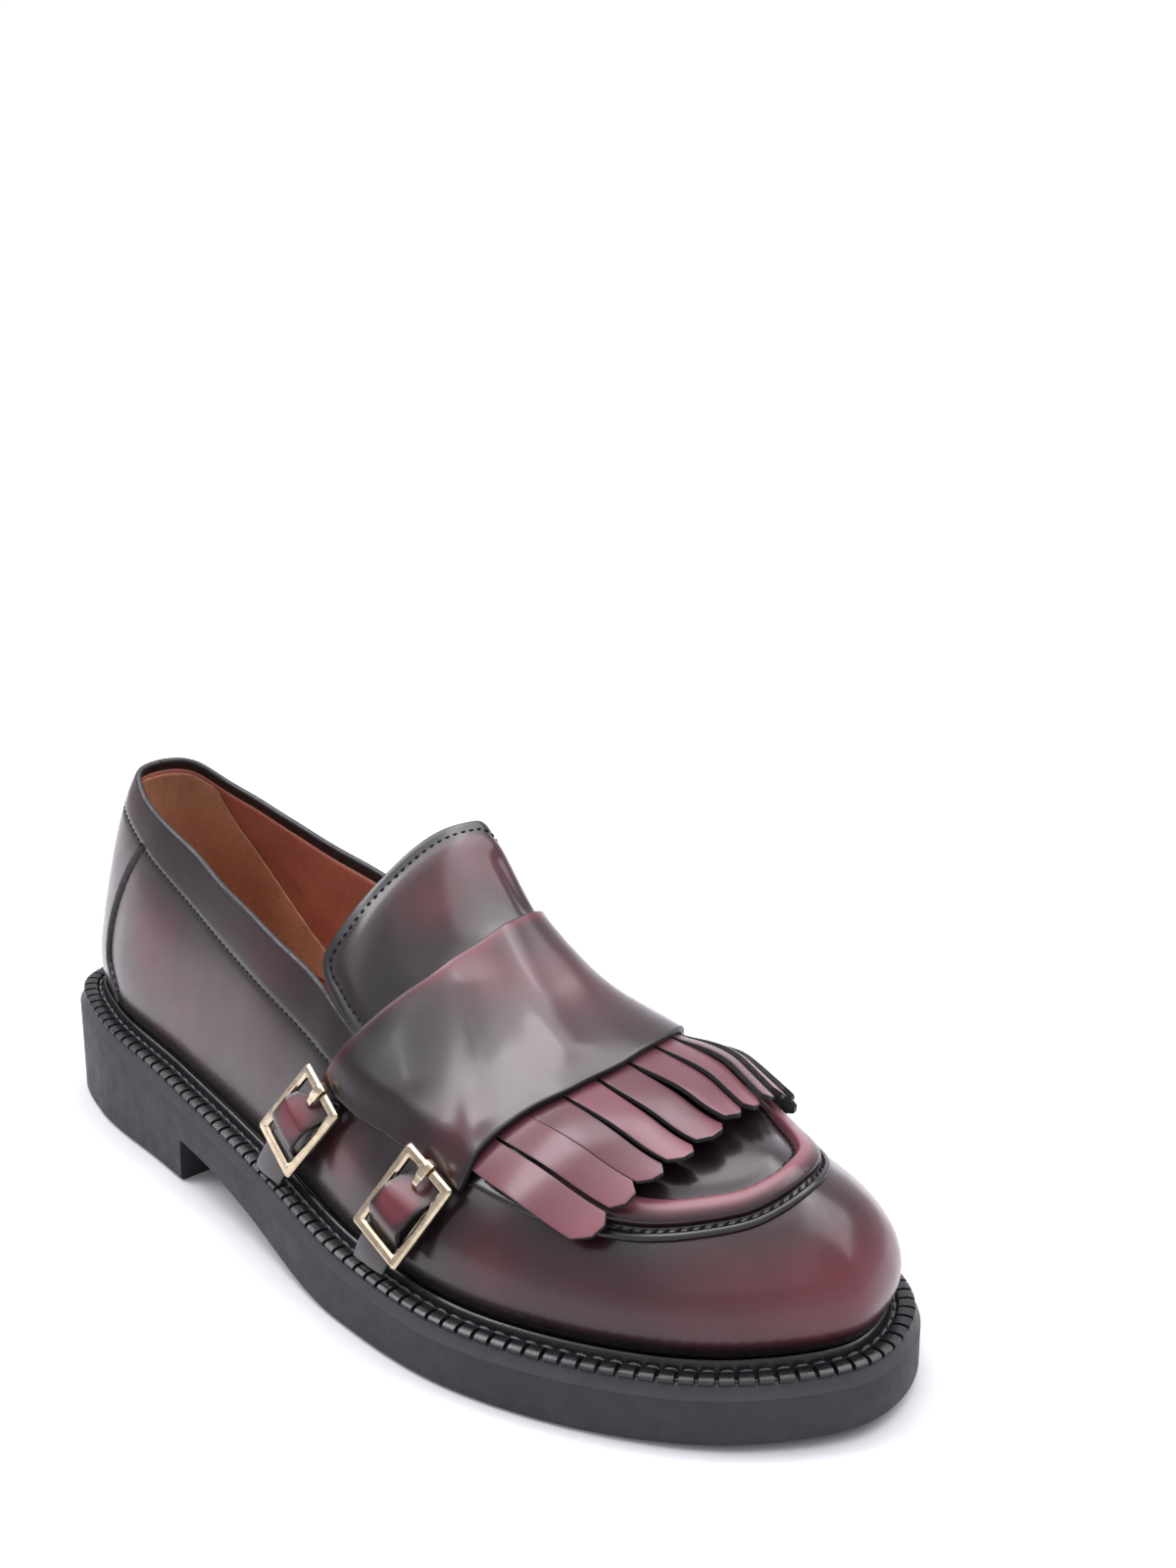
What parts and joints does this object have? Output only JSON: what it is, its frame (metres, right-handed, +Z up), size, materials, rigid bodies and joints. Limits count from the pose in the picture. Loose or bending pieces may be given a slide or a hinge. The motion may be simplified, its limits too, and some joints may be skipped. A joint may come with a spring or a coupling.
{
  "type": "fringed moccasin",
  "caption": "Slip-on leather moccasin shoe with a padded toe apron, a fringed overlay across the instep, buckled side straps and a notched storm welt on a low-heeled rubber sole.",
  "frame": {"origin": "centre of the sole's outline, on the floor", "axes": "+X towards the toe, +Y towards the medial side (the big toe's), -Y towards the lateral side with the buckles, +Z up"},
  "size_m": [0.2822, 0.1037, 0.103],
  "materials": {
    "rubber": "matte, fine pores",
    "welt_rubber": "satin, moulded teeth",
    "tan_lining": "soft tan lining and sock",
    "brushed_leather": "burgundy brushed-off to black, high gloss",
    "fringe_leather": "lighter burgundy, glossy, black cut edges",
    "pale_gold": "pale gold plate, polished"
  },
  "bodies": {
    "root": {"outsole": "rubber", "welt": "welt_rubber", "insole": "tan_lining", "upper": "brushed_leather", "tongue": "brushed_leather", "saddle": "brushed_leather", "apron_ridge": "brushed_leather", "strap_rear": "brushed_leather", "strap_front": "brushed_leather", "fringe_01": "fringe_leather", "fringe_02": "fringe_leather", "fringe_03": "fringe_leather", "fringe_04": "fringe_leather", "fringe_05": "fringe_leather", "fringe_06": "fringe_leather", "fringe_07": "fringe_leather", "fringe_08": "fringe_leather", "fringe_09": "fringe_leather", "fringe_10": "fringe_leather", "fringe_11": "fringe_leather", "buckle_rear": "pale_gold", "buckle_front": "pale_gold", "prong_rear": "pale_gold", "prong_front": "pale_gold"}
  },
  "joints": []
}
